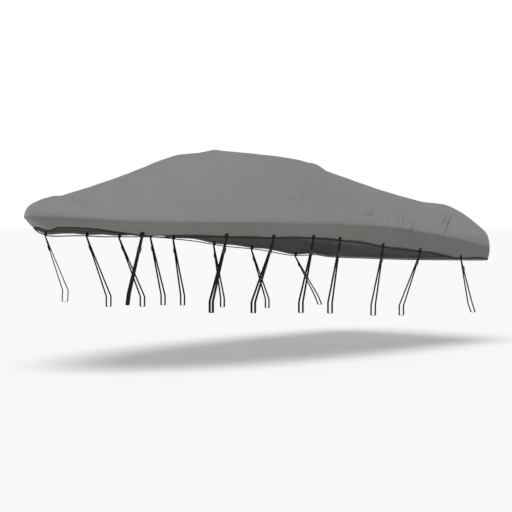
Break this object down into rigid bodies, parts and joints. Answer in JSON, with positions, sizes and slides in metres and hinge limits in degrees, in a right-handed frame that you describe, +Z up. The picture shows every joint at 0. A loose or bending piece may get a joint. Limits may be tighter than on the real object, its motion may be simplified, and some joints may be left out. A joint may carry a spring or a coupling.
{
  "type": "boat cover",
  "caption": "Fitted grey cloth cover for a trailered runabout, tent-shaped over the deck, with a tucked skirt, a draw rope under its hem and webbing tie-down straps.",
  "frame": {"origin": "on the underside of the top at its peak, on the centreline, where the boat's own support pole or windscreen holds the cover up", "axes": "+X aft along the centreline, +Y to starboard, +Z up"},
  "size_m": [5.466, 2.3831, 1.6802],
  "materials": {
    "grey_cloth": "matt coated polyester duck, fine plain weave",
    "black_webbing": "matt woven polypropylene webbing",
    "black_rope": "matt braided rope",
    "black_plastic": "fine satin moulding"
  },
  "bodies": {
    "root": {"top_panel": "grey_cloth", "skirt_panel": "grey_cloth", "hem_rope": "black_rope", "port_tab_1": "black_webbing", "port_strap_1": "black_webbing", "port_buckle_1": "black_plastic", "starboard_tab_1": "black_webbing", "starboard_strap_1": "black_webbing", "starboard_buckle_1": "black_plastic", "port_tab_2": "black_webbing", "port_strap_2": "black_webbing", "port_buckle_2": "black_plastic", "starboard_tab_2": "black_webbing", "starboard_strap_2": "black_webbing", "starboard_buckle_2": "black_plastic", "port_tab_3": "black_webbing", "port_strap_3": "black_webbing", "port_buckle_3": "black_plastic", "starboard_tab_3": "black_webbing", "starboard_strap_3": "black_webbing", "starboard_buckle_3": "black_plastic", "port_tab_4": "black_webbing", "port_strap_4": "black_webbing", "port_buckle_4": "black_plastic", "starboard_tab_4": "black_webbing", "starboard_strap_4": "black_webbing", "starboard_buckle_4": "black_plastic", "port_tab_5": "black_webbing", "port_strap_5": "black_webbing", "port_buckle_5": "black_plastic", "starboard_tab_5": "black_webbing", "starboard_strap_5": "black_webbing", "starboard_buckle_5": "black_plastic", "port_tab_6": "black_webbing", "port_strap_6": "black_webbing", "port_buckle_6": "black_plastic", "starboard_tab_6": "black_webbing", "starboard_strap_6": "black_webbing", "starboard_buckle_6": "black_plastic", "port_tab_7": "black_webbing", "port_strap_7": "black_webbing", "port_buckle_7": "black_plastic", "starboard_tab_7": "black_webbing", "starboard_strap_7": "black_webbing", "starboard_buckle_7": "black_plastic", "port_tab_8": "black_webbing", "port_strap_8": "black_webbing", "port_buckle_8": "black_plastic", "starboard_tab_8": "black_webbing", "starboard_strap_8": "black_webbing", "starboard_buckle_8": "black_plastic"}
  },
  "joints": []
}
